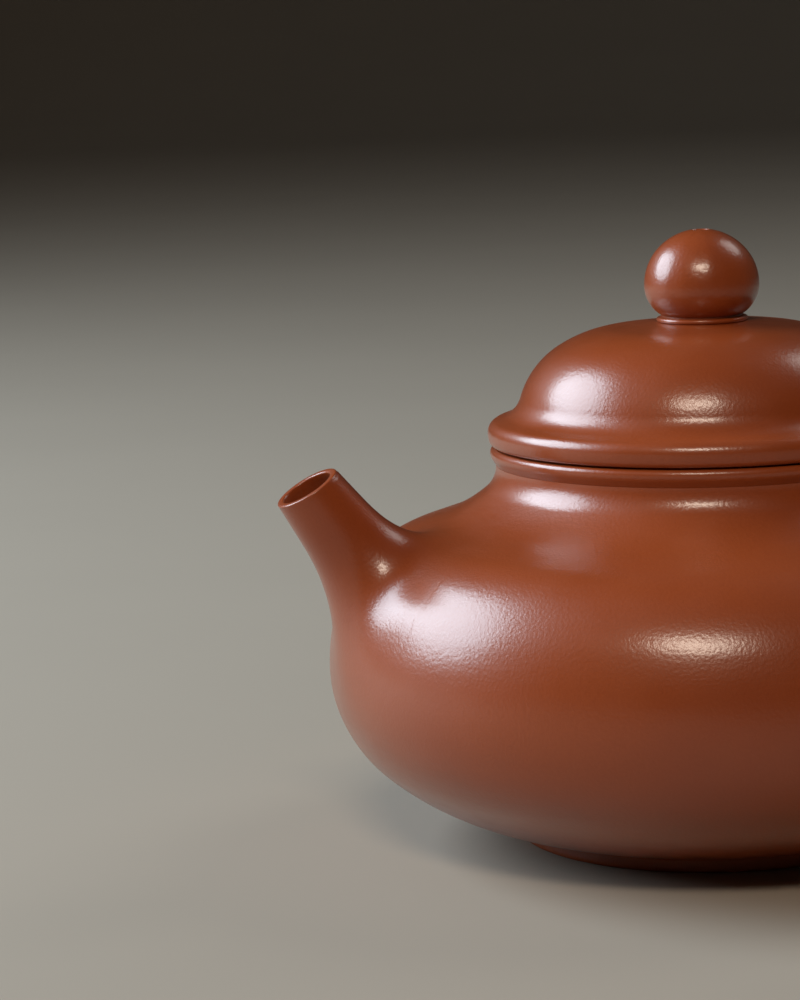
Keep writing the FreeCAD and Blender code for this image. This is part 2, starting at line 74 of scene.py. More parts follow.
class Outline:
    """Lines and tangent arcs in (radius, height).  A negative arc radius makes a hollow."""

    def __init__(self, r, z, polish=BURNISHED):
        self.start = np.array([r, z], float)
        self.end = self.start
        self.polish = polish
        self.parts = []

    def arc(self, radius, start, stop):
        centre = self.end - radius * direction(start)
        self.parts.append(("arc", centre, radius, start, stop, self.polish))
        self.end = centre + radius * direction(stop)
        return self

    def line_to(self, r, z):
        point = np.array([r, z], float)
        self.parts.append(("line", self.end, point, self.polish))
        self.end = point
        return self

    def straight(self, length, angle):
        """Up a straight flank whose normal has this angle."""
        a = math.radians(angle)
        r, z = self.end
        return self.line_to(r - length * math.sin(a), z + length * math.cos(a))

    def finish(self, polish):
        """How far what follows is burnished, from as fired, 0, to burnished, 1."""
        self.polish = polish
        return self

    def rows(self, step):
        """Points (radius, height, polish) along the outline."""
        found = [(*self.start, self.polish if not self.parts else self.parts[0][-1])]
        for part in self.parts:
            spacing = step if part[-1] else step * COARSE
            if part[0] == "line":
                _, a, b, polish = part
                count = max(1, math.ceil(np.linalg.norm(b - a) / spacing))
                found += [(*(a + (b - a) * n / count), polish) for n in range(1, count + 1)]
            else:
                _, centre, radius, start, stop, polish = part
                bend = abs(stop - start)
                length = abs(radius) * math.radians(bend)
                count = math.ceil(max(bend / ARC_BEND, length / spacing, ARC_LEAST))
                for n in range(1, count + 1):
                    angle = start + (stop - start) * n / count
                    found.append((*(centre + radius * direction(angle)), polish))
        return np.array(found)

    def distance(self, points):
        """Signed distance of (radius, height) points from the line, above 0 on its outer side."""
        best = np.full(points.shape[:-1], np.inf)
        signed = np.zeros(points.shape[:-1])
        for part in self.parts:
            if part[0] == "line":
                _, a, b, _ = part
                along = (b - a) / np.linalg.norm(b - a)
                share = np.clip((points - a) @ along, 0, np.linalg.norm(b - a))
                near = a + share[..., None] * along
                out = np.broadcast_to([along[1], -along[0]], near.shape)
            else:
                _, centre, radius, start, stop, _ = part
                away = (points - centre) * math.copysign(1, radius)
                low, high = sorted((math.radians(start), math.radians(stop)))
                angle = np.clip(np.arctan2(away[..., 1], away[..., 0]), low, high)
                out = np.stack([np.cos(angle), np.sin(angle)], -1)
                near = centre + radius * out
            gap = points - near
            size = np.linalg.norm(gap, axis=-1)
            closer = size < best
            best = np.where(closer, size, best)
            signed = np.where(closer, np.sign((gap * out).sum(-1)) * size, signed)
        return signed


def guarded(rows):
    """A closed run of outline rows with an extra row close to each side of each corner."""
    if np.linalg.norm(rows[0, :2] - rows[-1, :2]) < SAME:
        rows = rows[:-1]
    before = rows - np.roll(rows, 1, 0)
    after = np.roll(rows, -1, 0) - rows
    turn = np.degrees(np.abs(np.angle(
        (after[:, 0] + 1j * after[:, 1]) / (before[:, 0] + 1j * before[:, 1]))))
    found = []
    for row, back, on, corner in zip(rows, before, after, turn > CORNER):
        lengths = [np.linalg.norm(v[:2]) for v in (back, on)]
        if corner and lengths[0] > 3 * GUARD:
            found.append([*(row - back * GUARD / lengths[0])[:2], row[2]])
        found.append(list(row))
        if corner and lengths[1] > 3 * GUARD:
            found.append([*(row + on * GUARD / lengths[1])[:2], row[2] + on[2]])
    return np.array(found)


# the body's skin, from the base joint up to the neck
BELLY_R, BELLY_Z = 53.4, 25.0
SIDE_ARC, SIDE_ANGLE = 26.0, 20.0
SHOULDER_ARC, SHOULDER_ANGLE = 16.0, 71.0
LOW_ARC, LOW_ANGLE = 18.5, -50.0
UNDER_ARC, BASE_ANGLE = 38.0, -81.5
WALL = 3.0
FLANK = 4.5
SWEEP_ARC, TOE_ANGLE, NECK_ANGLE = 22.0, 60.0, 50.0
NECK_ARC = 4.5
DISC_Z, DISC_THICK, DISC_BEND = 45.0, 2.8, 36.5
MOUTH_R = 26.4


def belly_point(angle, inset=0.0):
    """A place on the belly below or above its widest ring."""
    near, far, bend = (
        (LOW_ARC, UNDER_ARC, LOW_ANGLE) if angle < 0 else (SIDE_ARC, SHOULDER_ARC, SIDE_ANGLE))
    start = np.array([BELLY_R - inset, BELLY_Z])
    turn = (near - inset) * (direction(bend) - direction(0))
    return start + turn + (far - inset) * (direction(angle) - direction(bend))


def belly_line(outline):
    """The outer line from the base joint to the shoulder joint."""
    outline.arc(UNDER_ARC, BASE_ANGLE, LOW_ANGLE).arc(LOW_ARC, LOW_ANGLE, 0)
    return outline.arc(SIDE_ARC, 0, SIDE_ANGLE).arc(SHOULDER_ARC, SIDE_ANGLE, SHOULDER_ANGLE)


def body_skin():
    skin = belly_line(Outline(*belly_point(BASE_ANGLE)))
    skin.straight(FLANK, SHOULDER_ANGLE)
    return skin.arc(-SWEEP_ARC, SHOULDER_ANGLE, NECK_ANGLE).arc(-NECK_ARC, NECK_ANGLE, 0)


SKIN = body_skin()


def base_disc_outline():
    outer, inner = belly_point(BASE_ANGLE), belly_point(BASE_ANGLE, WALL)
    outline = Outline(0, outer[1], AS_FIRED).line_to(*outer).line_to(*inner)
    return outline.line_to(0, inner[1])


def foot_ring_outline():
    outer, inner, edge, fillet = 27.2, 23.4, 0.6, 0.7
    joint = belly_point(BASE_ANGLE)
    outline = Outline(inner, joint[1], AS_FIRED).line_to(inner, edge).arc(edge, 180, 270)
    outline.line_to(outer - edge, 0).arc(edge, 270, 360)
    outline.finish(RUBBED).line_to(outer, joint[1] - fillet).arc(-fillet, 0, BASE_ANGLE)
    return outline.finish(AS_FIRED).line_to(outline.end[0], joint[1])


def belly_wall_outline():
    outline = belly_line(Outline(*belly_point(BASE_ANGLE)))
    outline.finish(AS_FIRED).line_to(*belly_point(SHOULDER_ANGLE, WALL))
    outline.arc(SHOULDER_ARC - WALL, SHOULDER_ANGLE, SIDE_ANGLE).arc(SIDE_ARC - WALL, SIDE_ANGLE, 0)
    outline.arc(LOW_ARC - WALL, 0, LOW_ANGLE).arc(UNDER_ARC - WALL, LOW_ANGLE, BASE_ANGLE)
    return outline.line_to(*belly_point(BASE_ANGLE))


def shoulder_disc_outline():
    outline = Outline(*belly_point(SHOULDER_ANGLE)).straight(FLANK, SHOULDER_ANGLE)
    outline.arc(-SWEEP_ARC, SHOULDER_ANGLE, TOE_ANGLE)
    outline.finish(AS_FIRED).line_to(outline.end[0], DISC_Z).line_to(MOUTH_R, DISC_Z)
    edge = 0.6
    outline.line_to(MOUTH_R, DISC_Z - DISC_THICK + edge).arc(edge, 180, 270)
    outline.line_to(DISC_BEND, DISC_Z - DISC_THICK)
    return outline.line_to(*belly_point(SHOULDER_ANGLE, WALL)).line_to(*belly_point(SHOULDER_ANGLE))


LIP_BASE = 52.6


def neck_ring_outline():
    toe = Outline(*belly_point(SHOULDER_ANGLE)).straight(FLANK, SHOULDER_ANGLE)
    toe = toe.arc(-SWEEP_ARC, SHOULDER_ANGLE, TOE_ANGLE).end
    outline = Outline(toe[0], DISC_Z, AS_FIRED).line_to(*toe).finish(BURNISHED)
    outline.arc(-SWEEP_ARC, TOE_ANGLE, NECK_ANGLE).arc(-NECK_ARC, NECK_ANGLE, 0)
    outline.line_to(outline.end[0], LIP_BASE)
    outline.finish(AS_FIRED).line_to(MOUTH_R, LIP_BASE).finish(WIPED).line_to(MOUTH_R, DISC_Z)
    return outline.finish(AS_FIRED).line_to(toe[0], DISC_Z)


def mouth_lip_outline():
    widest, height, top_arc, low_arc, low, edge = 29.9, 54.3, 0.75, 1.6, -33.0, 0.5
    r, z = np.array([widest, height]) + low_arc * (direction(low) - direction(0))
    foot = r + (z - LIP_BASE) * math.tan(math.radians(low))
    outline = Outline(foot, LIP_BASE).line_to(r, z).arc(low_arc, low, 0).arc(top_arc, 0, 90)
    outline.finish(BEARING).line_to(MOUTH_R + edge, outline.end[1]).arc(edge, 90, 180)
    return outline.line_to(MOUTH_R, LIP_BASE).finish(AS_FIRED).line_to(foot, LIP_BASE)


# the lid
RIM_R, RIM_Z = 30.15, 57.14
RIM_TOP_ARC, RIM_TOP_ANGLE, RIM_FLAT = 1.64, 70.0, 1.14
RIM_LOW_ARC, RIM_LOW_ANGLE, RIM_EDGE = 4.8, -15.0, 0.85
COVE_ARC, COVE_ANGLE = 4.0, 17.0
DOME_ARCS = ((12.5, 17.0, 57.4), (18.0, 57.4, 83.4), (109.0, 83.4, 86.75))
DOME_WALL = 2.8
FLANGE_PLAY, FLANGE_WALL, FLANGE_Z = 0.3, 2.5, 46.0
COLLAR_HEIGHT = 0.7
VENT_R = 0.8
KNOB_R, KNOB_Z = 7.96, 76.9
KNOB_LOW_ARC, KNOB_TOP_ARC = 4.85, 7.5


def rim_bottom():
    start = np.array([RIM_R, RIM_Z]) + RIM_LOW_ARC * (direction(RIM_LOW_ANGLE) - direction(0))
    return start + RIM_EDGE * (direction(-90) - direction(RIM_LOW_ANGLE))


def dome_foot():
    rim = Outline(RIM_R, RIM_Z).arc(RIM_TOP_ARC, 0, RIM_TOP_ANGLE)
    return rim.straight(RIM_FLAT, RIM_TOP_ANGLE).arc(-COVE_ARC, RIM_TOP_ANGLE, COVE_ANGLE).end


def crown_point(inset=0.0):
    place = dome_foot() - inset * direction(COVE_ANGLE)
    for radius, start, stop in DOME_ARCS:
        place = place + (radius - inset) * (direction(stop) - direction(start))
    return place


def lid_rim_outline():
    inner = MOUTH_R - FLANGE_PLAY - FLANGE_WALL
    bottom = rim_bottom()
    outline = Outline(inner, bottom[1], AS_FIRED).line_to(*bottom)
    outline.finish(BURNISHED).arc(RIM_EDGE, -90, RIM_LOW_ANGLE).arc(RIM_LOW_ARC, RIM_LOW_ANGLE, 0)
    outline.arc(RIM_TOP_ARC, 0, RIM_TOP_ANGLE).straight(RIM_FLAT, RIM_TOP_ANGLE)
    outline.arc(-COVE_ARC, RIM_TOP_ANGLE, COVE_ANGLE)
    joint = dome_foot() - DOME_WALL * direction(COVE_ANGLE)
    return outline.finish(AS_FIRED).line_to(*joint).line_to(inner, bottom[1])


def lid_dome_outline():
    outline = Outline(*dome_foot())
    for radius, start, stop in DOME_ARCS:
        outline.arc(radius, start, stop)
    inner_top = crown_point(DOME_WALL)
    outline.finish(AS_FIRED).line_to(VENT_R, outline.end[1]).line_to(VENT_R, inner_top[1])
    outline.line_to(*inner_top)
    for radius, start, stop in reversed(DOME_ARCS):
        outline.arc(radius - DOME_WALL, stop, start)
    return outline.line_to(*dome_foot())


def lid_flange_outline():
    outer, edge = MOUTH_R - FLANGE_PLAY, 0.8
    inner, top = outer - FLANGE_WALL, rim_bottom()[1]
    outline = Outline(inner, top, AS_FIRED).line_to(inner, FLANGE_Z + edge).arc(edge, 180, 270)
    outline.line_to(outer - edge, FLANGE_Z).finish(WIPED).arc(edge, 270, 360).line_to(outer, top)
    return outline.finish(AS_FIRED).line_to(inner, top)


def knob_collar_outline():
    radius, base = crown_point()
    edge = COLLAR_HEIGHT / 2
    outline = Outline(VENT_R, base).line_to(radius - edge, base).arc(edge, -90, 90)
    return outline.finish(AS_FIRED).line_to(VENT_R, outline.end[1]).line_to(VENT_R, base)


def knob_outline():
    low, top, crown_stop, dip, edge = -60.0, 50.0, 81.0, 0.5, 0.25
    base = crown_point()[1] + COLLAR_HEIGHT
    neck = np.array([KNOB_R, KNOB_Z]) + KNOB_LOW_ARC * (direction(low) - direction(0))
    outline = Outline(VENT_R, base).line_to(neck[0], base).line_to(*neck)
    outline.arc(KNOB_LOW_ARC, low, 0).arc(KNOB_TOP_ARC, 0, top)
    outline.arc(outline.end[0] / math.cos(math.radians(top)), top, crown_stop)
    outline.line_to(VENT_R + edge, outline.end[1] - dip + edge)
    return outline.finish(AS_FIRED).line_to(VENT_R, outline.end[1] - edge).line_to(VENT_R, base)


# ---------------------------------------------------------------- meshes

# waves round the pot, waves for each mm of height, phase, and size in mm
HAND_WAVES = (
    (2, 0.004, 0.7, 0.070),
    (3, -0.011, 2.1, 0.045),
    (5, 0.021, 4.0, 0.030),
    (8, -0.037, 1.3, 0.018),
    (11, 0.052, 5.1, 0.014),
    (17, -0.071, 3.3, 0.010),
    (23, 0.043, 0.2, 0.007),
)
WAVE_FADE = 8.0       # mm from the axis at which the waves reach half their size


def hand_shaped(points):
    """Points in mm, moved as a hand-built and hand-burnished pot strays from a true turned one."""
    x, y, z = points[..., 0], points[..., 1], points[..., 2]
    turn, radius = np.arctan2(y, x), np.hypot(x, y)
    stray = sum(size * np.cos(lobes * turn + 2 * math.pi * rate * z + phase)
                for lobes, rate, phase, size in HAND_WAVES)
    share = stray / (radius + WAVE_FADE)
    return np.stack([x * (1 + share), y * (1 + share), z], -1)


def loft(name, rings, polish, swept=None, closed=True):
    """A mesh through rings of points in mm; a ring of one point closes the end as a pole.

    polish and swept give each ring its burnish and the strength of its turned streaks.
    """
    starts = np.cumsum([0] + [len(ring) for ring in rings])
    faces = []
    pairs = list(zip(range(len(rings)), range(1, len(rings))))
    if closed:
        pairs.append((len(rings) - 1, 0))
    for a, b in pairs:
        count = max(len(rings[a]), len(rings[b]))
        here = np.arange(count)
        there = (here + 1) % count
        first, second = starts[a], starts[b]
        if len(rings[a]) == 1:
            quads = np.stack([np.full(count, first), second + there, second + here], -1)
        elif len(rings[b]) == 1:
            quads = np.stack([first + here, first + there, np.full(count, second)], -1)
        else:
            quads = np.stack([first + here, first + there, second + there, second + here], -1)
        faces += quads.tolist()
    points = hand_shaped(np.concatenate(rings)) * MM
    mesh = bpy.data.meshes.new(name)
    mesh.from_pydata(points.tolist(), [], faces)
    if signed_volume(mesh) < 0:
        mesh.flip_normals()
    for title, worth in (("polish", polish), ("swept", swept or [1.0] * len(rings))):
        values = np.concatenate([np.full(len(ring), value) for ring, value in zip(rings, worth)])
        attribute = mesh.attributes.new(title, "FLOAT", "POINT")
        attribute.data.foreach_set("value", values.astype(np.float32))
    piece = bpy.data.objects.new(name, mesh)
    bpy.context.scene.collection.objects.link(piece)
    return piece


def signed_volume(mesh):
    mesh.calc_loop_triangles()
    corners = np.empty(len(mesh.loop_triangles) * 3, np.int32)
    mesh.loop_triangles.foreach_get("vertices", corners)
    points = np.empty(len(mesh.vertices) * 3, np.float32)
    mesh.vertices.foreach_get("co", points)
    a, b, c = np.moveaxis(points.reshape(-1, 3).astype(float)[corners.reshape(-1, 3)], 1, 0)
    return float((a * np.cross(b, c)).sum())


def shade(piece):
    """Smooth shading with true corners left sharp."""
    piece.data.shade_smooth()
    piece.data.set_sharp_from_angle(angle=math.radians(SHARP))
    return piece


def turned(name, outline, move=None, step=STEP):
    """The outline turned about the Z axis.  move, if given, shifts the points of each ring."""
    rows = outline.rows(step)
    on_axis = rows[0, 0] < SAME
    rows = rows if on_axis else guarded(rows)
    angle = turns(AROUND)
    rings = []
    for r, z, _ in rows:
        if r < SAME:
            rings.append(np.array([[0.0, 0.0, z]]))
            continue
        ring = np.stack([r * np.cos(angle), r * np.sin(angle), np.full(AROUND, z)], -1)
        rings.append(ring if move is None else move(ring))
    return loft(name, rings, rows[:, 2], closed=not on_axis)


# ---------------------------------------------------------------- spout and handle roots

class Stalk:
    """A round tube whose outer end is at tip and which runs straight into the body.

    Places on it are (depth, spread, turn): how far in from the tip, how far from its own line,
    and the turn about that line from its upper side.  Its root melts into the body's skin over
    a distance of melt mm, which differs between its upper and lower sides.  Beyond reach mm
    from the tip it is inside the body.
    """

    def __init__(self, tip, slant, side, radius, melt_top, melt_low, reach):
        a = math.radians(slant)
        self.tip = np.array(tip, float)
        self.inward = np.array([-side * math.cos(a), 0.0, -math.sin(a)])
        self.up = np.array([-side * math.sin(a), 0.0, math.cos(a)])
        self.radius = radius
        self.melt_top, self.melt_low, self.reach = melt_top, melt_low, reach

    def away(self, turn):
        """Directions square to the tube's line."""
        return np.cos(turn)[..., None] * self.up + np.sin(turn)[..., None] * ACROSS

    def place(self, depth, spread, turn):
        return self.tip + depth[..., None] * self.inward + spread[..., None] * self.away(turn)

    def read(self, points):
        """Depth, distance from the tube's surface, and the melting distance there."""
        gap = points - self.tip
        depth, high, wide = gap @ self.inward, gap @ self.up, gap @ ACROSS
        share = (1 + np.cos(np.arctan2(wide, high))) / 2
        melt = self.melt_low + (self.melt_top - self.melt_low) * share
        return depth, np.hypot(high, wide) - self.radius(depth), melt

    def field(self, points):
        """0 on the skin of body and tube melted together, above 0 outside."""
        _, tube, melt = self.read(points)
        body = body_distance(points)
        share = np.maximum(melt - np.abs(tube - body), 0) / melt
        return np.minimum(tube, body) - share ** 3 * melt / 6

    def settle(self, points, level):
        """Points moved onto the melted skin, or the given height above it."""
        for _ in range(SETTLE_ROUNDS):
            slope = slope_of(self.field, points)
            value = self.field(points) - level
            points = points - (value / (slope ** 2).sum(-1))[..., None] * slope
        return points

    def on_body(self, spread, turn, depth):
        """Depths at which points of this spread and turn lie on the body's skin."""
        for _ in range(DEPTH_ROUNDS):
            depth = depth + body_distance(self.place(depth, spread, turn))
        return depth

    def skin_path(self, inner, turn):
        """Rows of points along the body's skin, outwards from the spread called inner."""
        away = self.away(turn)
        depth = self.on_body(inner, turn, np.full_like(turn, self.reach / 2))
        here = self.place(depth, inner, turn)
        heading, path = away, [here]
        for _ in range(math.ceil(PATH_REACH / PATH_STEP)):
            slope = slope_of(body_distance, here)
            along, out = slope @ self.inward, (slope * away).sum(-1)
            onward = out[:, None] * self.inward - along[:, None] * away
            onward *= np.sign((onward * heading).sum(-1))[:, None]
            heading = onward / np.linalg.norm(onward, axis=-1)[:, None]
            here = here + PATH_STEP * heading
            square = along[:, None] * self.inward + out[:, None] * away
            size = (square ** 2).sum(-1)
            here = here - (body_distance(here) / size)[:, None] * square
            path.append(here)
        return np.array(path)

    def root(self, start, inner, count, under_count, around):
        """The melted skin's rings from the depths called start to its edge, and the rings
        under it from that edge back to the spread called inner."""
        turn = turns(around)
        path = self.skin_path(inner, turn)
        _, tube, melt = self.read(path)
        edge, crease = crossing(tube - melt), crossing(tube)
        edge = edge + EDGE_RUN / PATH_STEP
        depth = self.read(follow(path, crease))[0]
        tube_length, skirt = depth - start, (edge - crease) * PATH_STEP
        skin = []
        for n in range(count):
            run = (tube_length + skirt) * n / (count - 1)
            sunk = eased((run - tube_length - skirt) / (2 * EDGE_RUN) + 1)
            level = PROUD * (1 - 2 * sunk) if n else 0.0
            down = start + np.minimum(run, tube_length)
            on_tube = self.place(down, self.radius(down), turn)
            on_skin = follow(path, crease + np.maximum(run - tube_length, 0) / PATH_STEP)
            points = np.where((run < tube_length)[:, None], on_tube, on_skin)
            skin.append(self.settle(points, level))
        under = [tuck(follow(path, edge * (1 - n / (under_count - 1))), UNDER)
                 for n in range(under_count)]
        return skin, under


ACROSS = np.array([0.0, 1.0, 0.0])
SLOPE_STEP = 0.01     # mm
PATH_STEP, PATH_REACH = 0.25, 34.0    # mm
SETTLE_ROUNDS, DEPTH_ROUNDS, BORE_ROUNDS = 12, 40, 10   # steps that each search takes
PROUD = 0.008         # mm by which a melted root stands over the skin, so that it is what shows
EDGE_RUN = 1.0        # mm past its edge over which it sinks as far below the skin
ON_SKIN = 0.02        # mm from the body's skin that counts as on it
UNDER = 0.05          # mm by which its closing face lies below the tucked skin
TUCK_DEPTH = 0.7      # mm by which the skin under a melted root is lowered
TUCK_RUN = 3.0        # mm over which it goes down


def eased(share):
    """0 to 1 with a soft start and end."""
    share = np.clip(share, 0, 1)
    return share ** 2 * (3 - 2 * share)


def turns(around):
    return np.arange(around) * 2 * math.pi / around


def slope_of(field, points):
    return np.stack([field(points + shift) - field(points - shift)
                     for shift in np.eye(3) * SLOPE_STEP], -1) / (2 * SLOPE_STEP)


def crossing(values):
    """The fractional row where each column first rises through 0."""
    above = values >= 0
    if above[0].any() or not above.any(0).all():
        raise ValueError("a melted root never comes clear of the skin, so it has no edge")
    row, column = above.argmax(0), np.arange(values.shape[1])
    before, after = values[row - 1, column], values[row, column]
    return row - 1 - before / (after - before)


def follow(path, rows):
    """The point of each column of a path at its own fractional row."""
    low = np.clip(np.floor(rows).astype(int), 0, len(path) - 2)
    column = np.arange(path.shape[1])
    share = (rows - low)[:, None]
    return path[low, column] * (1 - share) + path[low + 1, column] * share


def body_distance(points):
    radius = np.hypot(points[..., 0], points[..., 1])
    return SKIN.distance(np.stack([radius, points[..., 2]], -1))


def tuck(points, more=0.0):
    """Skin points lowered under the spout's and handle's melted roots, and by more mm besides."""
    low = np.zeros(points.shape[:-1])
    for stalk in STALKS:
        depth, tube, melt = stalk.read(points)
        share = eased((melt - tube) / TUCK_RUN) * ((depth > 0) & (depth < stalk.reach))
        low = np.maximum(low, TUCK_DEPTH * share)
    return points - (low + more)[..., None] * slope_of(body_distance, points)


SPOUT_TIP = (-57.6, 0.0, 52.6)
SPOUT_SLANT, MOUTH_CUT = 54.5, 5.5
SPOUT_R, BORE_R = 4.6, 3.6
BORE_TAPER = math.tan(math.radians(4.5))
TIP_TAPER, ROOT_TAPER = 5.5, 14.0     # degrees
FLARE_DEPTH, FLARE_BLEND = 9.0, 3.0   # mm in from the tip, and half the run of the change
FLARE_LENGTH = 14.0                   # mm over which it opens at the root's taper
SPOUT_BURIED, SPOUT_DRAW = 24.0, 0.04
MOUTH_EDGE = 0.35     # mm by which the mouth's face is rounded at its two edges


def spout_radius(depth):
    """A plain cone that opens a little faster towards its root and draws in once it is buried."""
    tip, root = math.tan(math.radians(TIP_TAPER)), math.tan(math.radians(ROOT_TAPER))
    past = np.clip((depth - FLARE_DEPTH + FLARE_BLEND) / (2 * FLARE_BLEND), 0, None)
    opened = np.where(past < 1, past ** 2 * FLARE_BLEND, 2 * FLARE_BLEND * past - FLARE_BLEND)
    flared = SPOUT_R + depth * tip + (root - tip) * np.minimum(opened, FLARE_LENGTH)
    return flared - SPOUT_DRAW * np.maximum(depth - SPOUT_BURIED, 0) ** 2


SPOUT = Stalk(SPOUT_TIP, SPOUT_SLANT, -1, spout_radius, melt_top=9.0, melt_low=8.5, reach=36.0)

# the handle's line in the XZ plane: straight, then tangent arcs, then straight
HANDLE_ROOT = (45.0, 37.0)
HANDLE_RISE, HANDLE_LEAD = 52.0, 10.0
HANDLE_ARCS = ((10.0, 52.0, -28.0), (16.5, -28.0, -98.0), (13.0, -98.0, -160.0))
HANDLE_TAIL = 20.5
HANDLE_RADII = (4.4, 3.4)
LOWER_BURIED, LOWER_DRAW = 15.0, 0.04


def handle_line(step=0.35):
    """Points along the handle with the heading at each, in degrees above +X."""
    place = np.array(HANDLE_ROOT) + HANDLE_LEAD * direction(HANDLE_RISE)
    rows = [(*place, HANDLE_RISE)]
    for radius, start, stop in HANDLE_ARCS:
        count = math.ceil(radius * math.radians(abs(stop - start)) / step)
        centre = place + radius * direction(start - 90)
        for n in range(1, count + 1):
            heading = start + (stop - start) * n / count
            rows.append((*(centre + radius * direction(heading + 90)), heading))
        place = centre + radius * direction(stop + 90)
    return np.array(rows)


HANDLE_LINE = handle_line()
HANDLE_LENGTH = HANDLE_LEAD + HANDLE_TAIL + sum(
    radius * math.radians(start - stop) for radius, start, stop in HANDLE_ARCS)


def handle_radius(run):
    """The bar's radius this far along its line from the upper root."""
    share = np.clip(run / HANDLE_LENGTH, 0, 1)
    return HANDLE_RADII[0] + (HANDLE_RADII[1] - HANDLE_RADII[0]) * share


def upper_radius(depth):
    return handle_radius(HANDLE_LEAD - depth)


def lower_radius(depth):
    """The lower root draws in once it is inside the wall, so that it leaves the skin again."""
    buried = np.maximum(depth - LOWER_BURIED, 0)
    return handle_radius(HANDLE_LENGTH - HANDLE_TAIL + depth) - LOWER_DRAW * buried ** 2


UPPER = Stalk((HANDLE_LINE[0][0], 0.0, HANDLE_LINE[0][1]), HANDLE_RISE, 1,
              upper_radius, melt_top=5.0, melt_low=4.5, reach=18.0)
LOWER = Stalk((HANDLE_LINE[-1][0], 0.0, HANDLE_LINE[-1][1]), HANDLE_LINE[-1][2] + 180, 1,
              lower_radius, melt_top=4.0, melt_low=2.2, reach=26.0)
STALKS = (SPOUT, UPPER, LOWER)


def mouth_depth(spread, turn):
    """The mouth is cut a little off square, so its upper side lies further in."""
    return spread * np.cos(turn) * math.tan(math.radians(MOUTH_CUT))


def mouth_rings(turn, count=15, square=0.6):
    """The softened flat face round the mouth, from the bore's edge to the outer wall.

    A square of 1 would make the face's outline an ellipse, and less than 1 makes it squarer.
    """
    middle, half = (SPOUT_R + BORE_R) / 2, (SPOUT_R - BORE_R) / 2
    rings = []
    for angle in np.linspace(math.pi, 0, count):
        c, s = math.cos(angle), math.sin(angle)
        spread = np.full_like(turn, middle + half * math.copysign(abs(c) ** square, c))
        depth = MOUTH_EDGE * (1 - s ** square) + mouth_depth(spread, turn)
        rings.append(SPOUT.place(depth, spread, turn))
    return rings


def fading_in(skin):
    """The body's streaks come in over the outer half of a melted root."""
    return [float(eased(2 * n / (len(skin) - 1) - 1)) for n in range(len(skin))]


def make_spout(around=160, skin_count=100, under_count=40, bore_count=30):
    turn = turns(around)
    start = mouth_depth(np.full_like(turn, SPOUT_R), turn) + MOUTH_EDGE
    inner, first_depth = np.full_like(turn, BORE_R), np.full_like(turn, 15.0)
    for _ in range(BORE_ROUNDS):
        inner = BORE_R + SPOUT.on_body(inner, turn, first_depth) * BORE_TAPER
    skin, under = SPOUT.root(start, inner, skin_count, under_count, around)
    top = mouth_depth(np.full_like(turn, BORE_R), turn) + MOUTH_EDGE
    bottom = SPOUT.read(under[-1])[0]
    bore = []
    for n in range(1, bore_count):
        depth = bottom + (top - bottom) * n / bore_count
        bore.append(SPOUT.place(depth, BORE_R + depth * BORE_TAPER, turn))
    mouth = mouth_rings(turn)
    polish = [BURNISHED] * (len(mouth) + len(skin) - 1) + [AS_FIRED] * (len(under) + len(bore))
    swept = [0.0] * len(mouth) + fading_in(skin)[1:] + [1.0] * (len(under) + len(bore))
    return loft("spout_clay", mouth + skin[1:] + under + bore, polish, swept)


def handle_section(place, heading, run, turn):
    """A ring of the handle square to its line."""
    up = direction(heading + 90)
    high, wide = handle_radius(run) * np.cos(turn), handle_radius(run) * np.sin(turn)
    return np.stack([place[0] + high * up[0], wide, place[1] + high * up[1]], -1)


def make_handle(around=120, upper_count=60, lower_count=70, under_count=14, core_radius=0.6):
    turn = turns(around)
    zero, core = np.zeros_like(turn), np.full_like(turn, core_radius)
    upper, under_upper = UPPER.root(zero, core, upper_count, under_count, around)
    lower, under_lower = LOWER.root(zero, core, lower_count, under_count, around)
    gaps = np.linalg.norm(np.diff(HANDLE_LINE[:, :2], axis=0), axis=1)
    runs = HANDLE_LEAD + np.concatenate([[0], np.cumsum(gaps)])
    middle = [handle_section(row[:2], row[2], run, turn) for row, run in zip(HANDLE_LINE, runs)]
    # the lower root's upper side is the under side of the handle's line, so its rings turn over
    swap = (around // 2 - np.arange(around)) % around
    lower = [ring[swap] for ring in lower + under_lower]
    poles = [under_upper[-1].mean(0, keepdims=True), lower[-1].mean(0, keepdims=True)]
    rings = [poles[0]] + under_upper[::-1] + upper[::-1] + middle[1:-1] + lower + [poles[1]]
    near = [1.0] * (len(under_upper) + 1) + fading_in(upper)[::-1]
    far = fading_in(lower[:-len(under_lower)]) + [1.0] * (len(under_lower) + 1)
    swept = near + [0.0] * (len(rings) - len(near) - len(far)) + far
    return loft("handle_clay", rings, [BURNISHED] * len(rings), swept, closed=False)


def cone(name, stalk, start, stop, radius, around=96):
    """A plain closed cone along a stalk's line, used to pierce the wall behind the spout."""
    turn = turns(around)
    rings = []
    for depth in (start, stop):
        depths = np.full_like(turn, depth)
        rings.append(stalk.place(depths, radius(depths), turn))
    centres = [ring.mean(0, keepdims=True) for ring in rings]
    return loft(name, [centres[0], *rings, centres[1]], [AS_FIRED] * 4, closed=False)


def pierce(piece, tool):
    cut = piece.modifiers.new("pierce", "BOOLEAN")
    cut.operation, cut.solver, cut.object = "DIFFERENCE", "EXACT", tool
    graph = bpy.context.evaluated_depsgraph_get()
    mesh = bpy.data.meshes.new_from_object(piece.evaluated_get(graph))
    piece.modifiers.remove(cut)
    old = piece.data
    piece.data = mesh
    bpy.data.meshes.remove(old)
    bpy.data.objects.remove(tool)
    mesh.name = piece.name
    return piece


